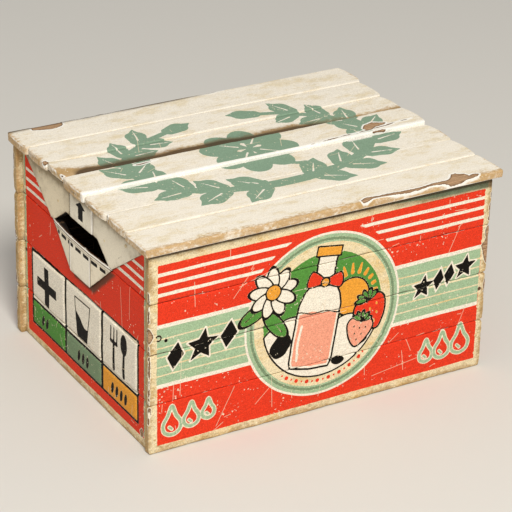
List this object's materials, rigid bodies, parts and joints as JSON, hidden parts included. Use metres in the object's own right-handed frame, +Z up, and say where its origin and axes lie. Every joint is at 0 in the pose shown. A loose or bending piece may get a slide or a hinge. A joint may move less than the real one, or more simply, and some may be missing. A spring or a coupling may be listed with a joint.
{
  "type": "milk delivery box",
  "caption": "Wooden milk delivery box of painted planks, with a plank lid hinged along the back, bottle dividers inside and a folded metal note chute on one end.",
  "frame": {"origin": "on the ground under the middle of the box", "axes": "+X to the right along the front wall, front wall facing -Y, +Z up; the hinges are at +Y and the note chute is on the -X end"},
  "size_m": [0.473, 0.361, 0.2664],
  "materials": {
    "painted_pine": "worn matt oil paint over pine, red with cream and sage green bands",
    "whitewashed_pine": "weathered whitewash over pine",
    "bare_pine": "bare aged pine",
    "divider_slat_wood": "sawn thin slats, unfinished",
    "chute_enamel": "off-white enamelled sheet steel, worn",
    "hinge_steel": "dull rolled steel with rust",
    "screw_steel": "slotted steel screws, dull",
    "nail_iron": "dark wire nails, rusted"
  },
  "bodies": {
    "box": {"back_plank_1": "painted_pine", "back_plank_2": "painted_pine", "back_plank_3": "painted_pine", "back_plank_4": "painted_pine", "chute_hood": "chute_enamel", "chute_pocket": "chute_enamel", "chute_tacks": "nail_iron", "corner_post_back_left": "bare_pine", "corner_post_back_right": "bare_pine", "corner_post_front_left": "bare_pine", "corner_post_front_right": "bare_pine", "cross_divider_1": "divider_slat_wood", "cross_divider_2": "divider_slat_wood", "cross_divider_3": "divider_slat_wood", "cross_divider_4": "divider_slat_wood", "floor_bearer_1": "bare_pine", "floor_bearer_2": "bare_pine", "floor_bearer_3": "bare_pine", "floor_nails": "nail_iron", "floor_plank_1": "bare_pine", "floor_plank_2": "bare_pine", "floor_plank_3": "bare_pine", "floor_plank_4": "bare_pine", "floor_plank_5": "bare_pine", "front_plank_1": "painted_pine", "front_plank_2": "painted_pine", "front_plank_3": "painted_pine", "front_plank_4": "painted_pine", "hinge_pin_left": "hinge_steel", "hinge_pin_right": "hinge_steel", "hinge_wall_leaf_left": "hinge_steel", "hinge_wall_leaf_right": "hinge_steel", "hinge_wall_screws": "screw_steel", "left_end_plank_1": "painted_pine", "left_end_plank_2": "painted_pine", "left_end_plank_3": "painted_pine", "left_end_plank_4": "painted_pine", "long_divider_1": "divider_slat_wood", "long_divider_2": "divider_slat_wood", "long_divider_3": "divider_slat_wood", "right_end_plank_1": "painted_pine", "right_end_plank_2": "painted_pine", "right_end_plank_3": "painted_pine", "right_end_plank_4": "painted_pine", "wall_nails": "nail_iron"},
    "lid": {"hinge_lid_leaf_left": "hinge_steel", "hinge_lid_leaf_right": "hinge_steel", "hinge_lid_screws": "screw_steel", "lid_batten_1": "bare_pine", "lid_batten_2": "bare_pine", "lid_batten_3": "bare_pine", "lid_nails": "nail_iron", "lid_plank_1": "whitewashed_pine", "lid_plank_2": "whitewashed_pine", "lid_plank_3": "whitewashed_pine", "lid_plank_4": "whitewashed_pine", "lid_plank_5": "whitewashed_pine", "lid_plank_6": "whitewashed_pine", "lid_plank_7": "whitewashed_pine"}
  },
  "joints": [
    {"name": "lid_hinge", "type": "hinge", "parent": "box", "child": "lid", "pos_m": [0, 0.17515, 0.25265], "axis": [-1, 0, 0], "range_deg": [0, 110]}
  ]
}
